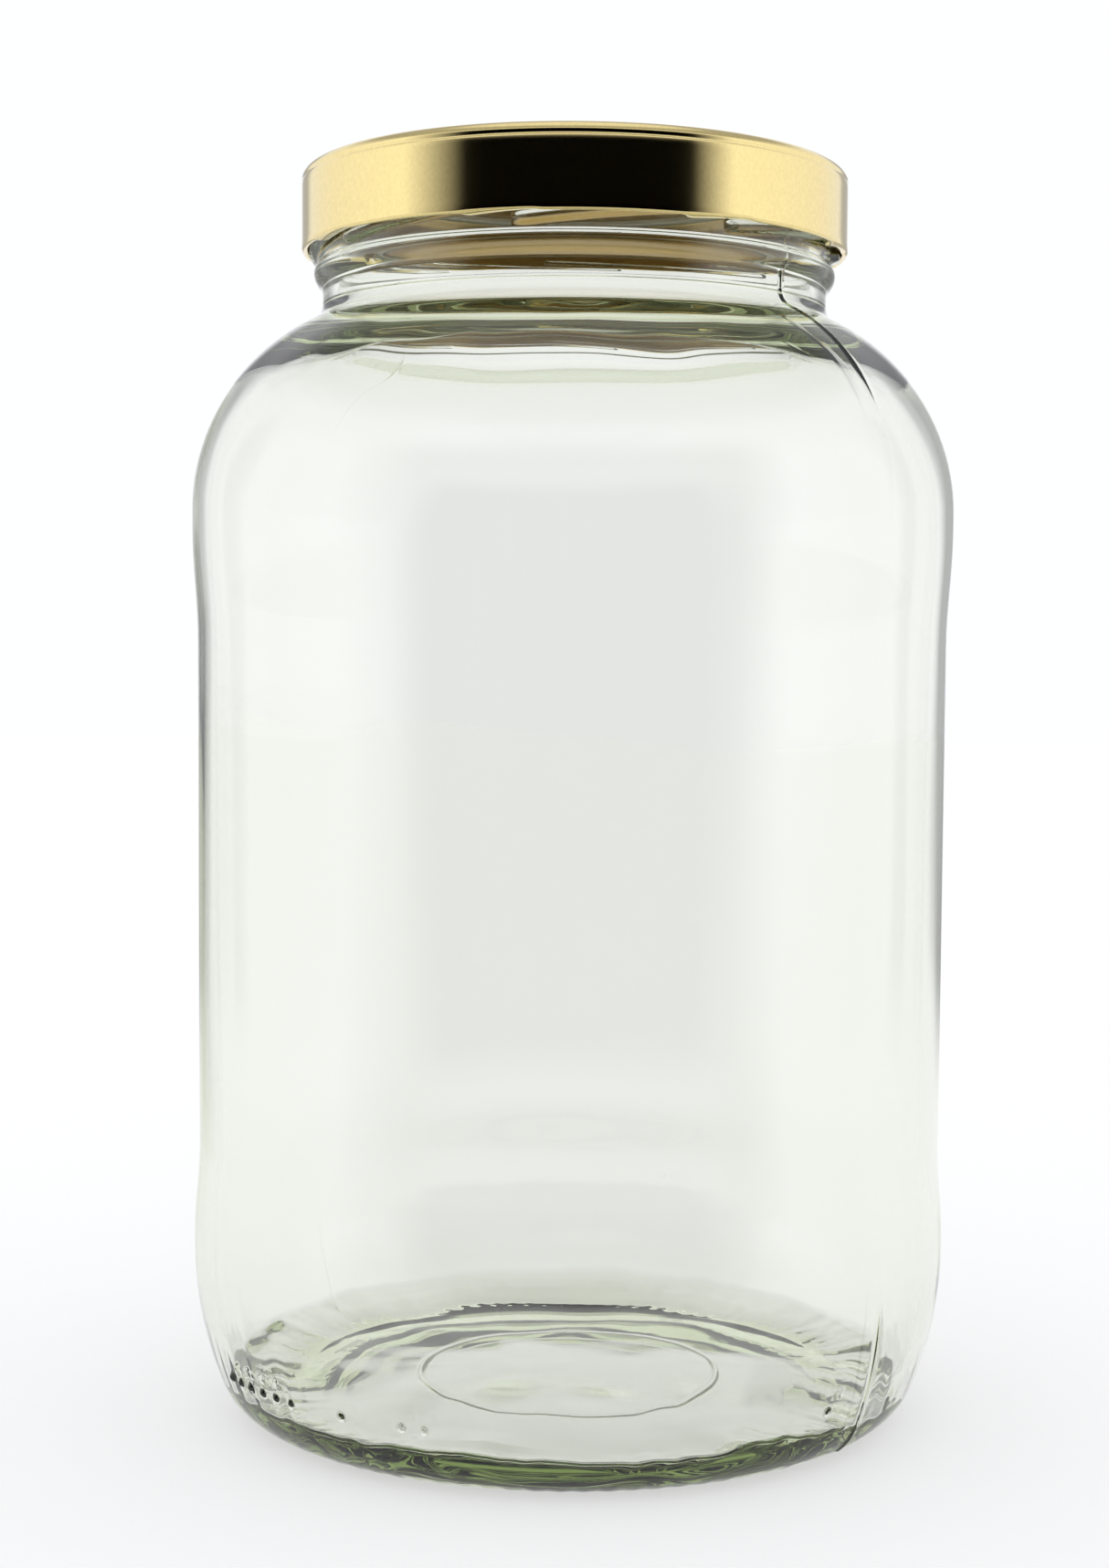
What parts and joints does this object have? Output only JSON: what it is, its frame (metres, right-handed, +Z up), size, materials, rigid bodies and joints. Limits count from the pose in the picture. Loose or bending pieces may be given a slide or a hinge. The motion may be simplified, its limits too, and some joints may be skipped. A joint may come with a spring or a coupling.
{
  "type": "mason jar",
  "caption": "Wide-mouth glass storage jar with a recessed label panel, short threaded neck and one-piece twist-off metal lid with a sealing ring.",
  "frame": {"origin": "on the jar's axis, at the height of the surface it stands on", "axes": "+Z up along the jar's axis, -Y towards the front, +X to the right seen from the front"},
  "size_m": [0.1558, 0.1558, 0.2546],
  "materials": {
    "jar_glass": "clear moulded soda-lime glass with a faint green tint",
    "sealing_compound": "soft cream sealing compound, satin",
    "lacquered_tinplate": "gold-lacquered tinplate, satin with a fine rolling grain"
  },
  "bodies": {
    "jar": {"glass_jar": "jar_glass"},
    "liner": {"lid_liner": "sealing_compound"},
    "lid": {"lid_shell": "lacquered_tinplate"}
  },
  "joints": [
    {"name": "lid_lift", "type": "slide", "parent": "jar", "child": "liner", "axis": [0, 0, 1], "range_m": [0, 0.032]},
    {"name": "lid_turn", "type": "hinge", "parent": "liner", "child": "lid", "pos_m": [0, 0, 0.2546], "axis": [0, 0, 1], "range_deg": [0, 360]}
  ],
  "couplings": [
    {"joint": "lid_lift", "follows": "lid_turn", "m_per_rad": 0.005092}
  ]
}
